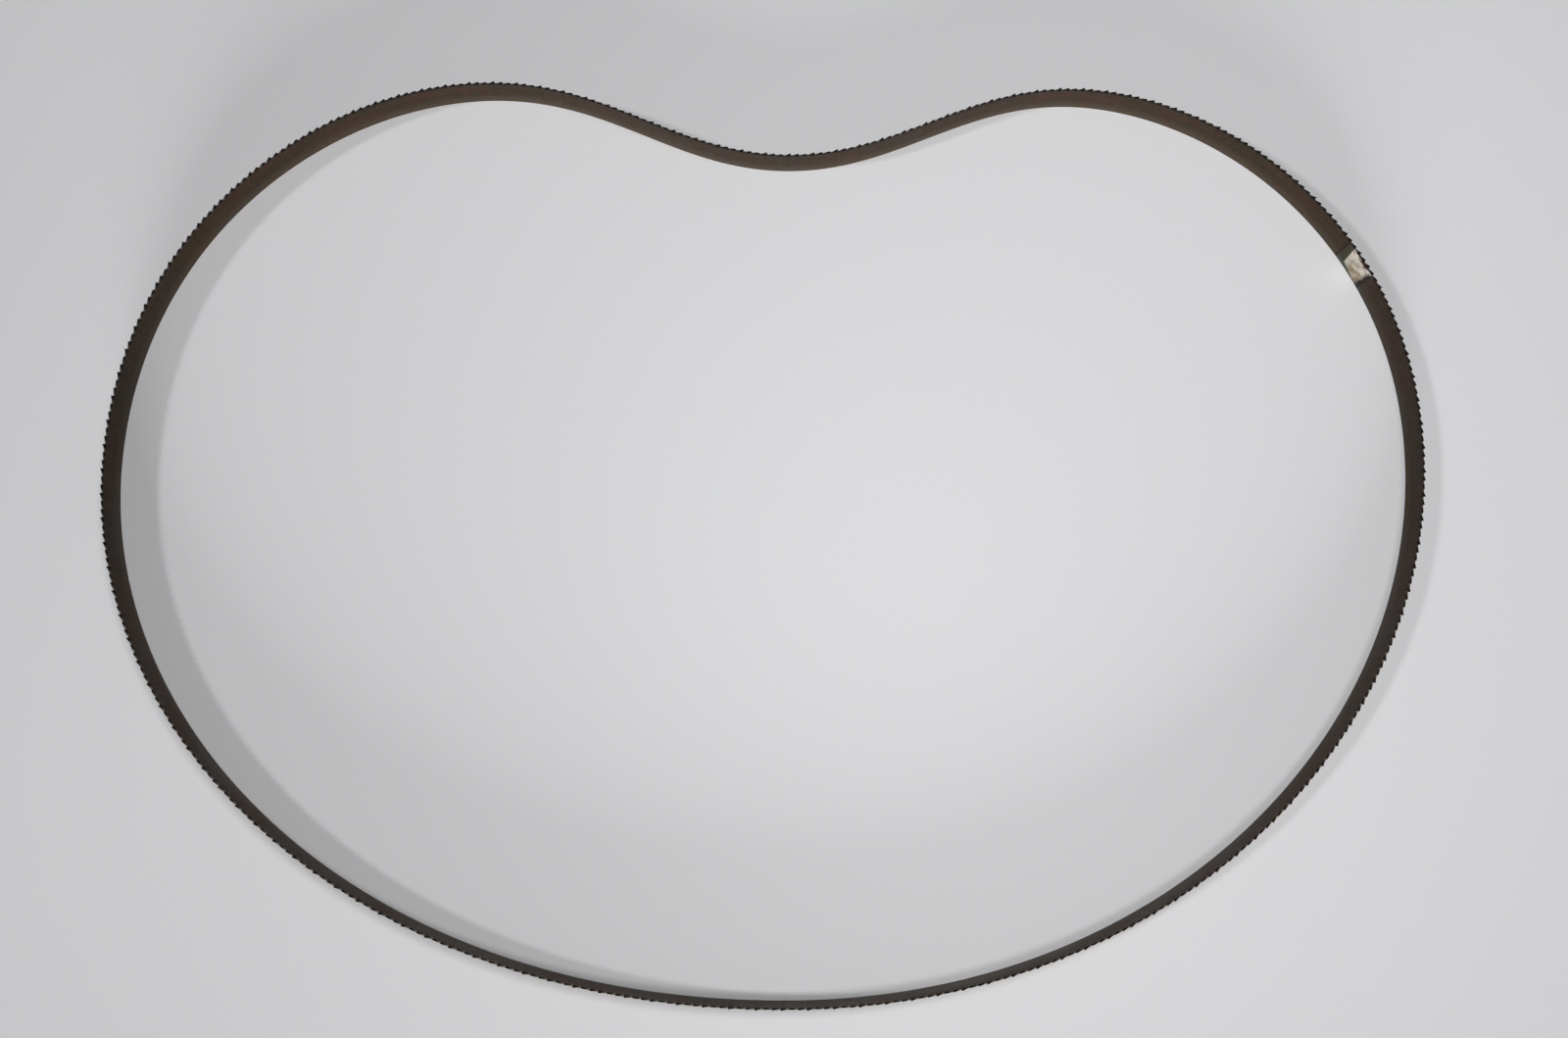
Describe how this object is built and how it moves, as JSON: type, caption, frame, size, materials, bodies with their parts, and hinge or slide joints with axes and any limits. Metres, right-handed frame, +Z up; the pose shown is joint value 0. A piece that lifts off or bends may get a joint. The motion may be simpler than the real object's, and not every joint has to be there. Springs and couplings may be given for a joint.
{
  "type": "band saw blade",
  "caption": "Narrow endless steel strip with raker-set teeth along one edge, butt welded into a loop and standing on its plain back edge with one side pressed in.",
  "frame": {"origin": "middle of the loop's outline, at the height of the back edge that it stands on", "axes": "+Z up, from the back edge to the tooth tips; +X across the loop's widest extent; +Y towards the pressed-in side"},
  "size_m": [0.4092, 0.2872, 0.0127],
  "materials": {
    "blued_strip_steel": "dark heat-blued strip steel, semi-gloss, with one bright ground weld"
  },
  "bodies": {
    "root": {"blade": "blued_strip_steel"}
  },
  "joints": []
}
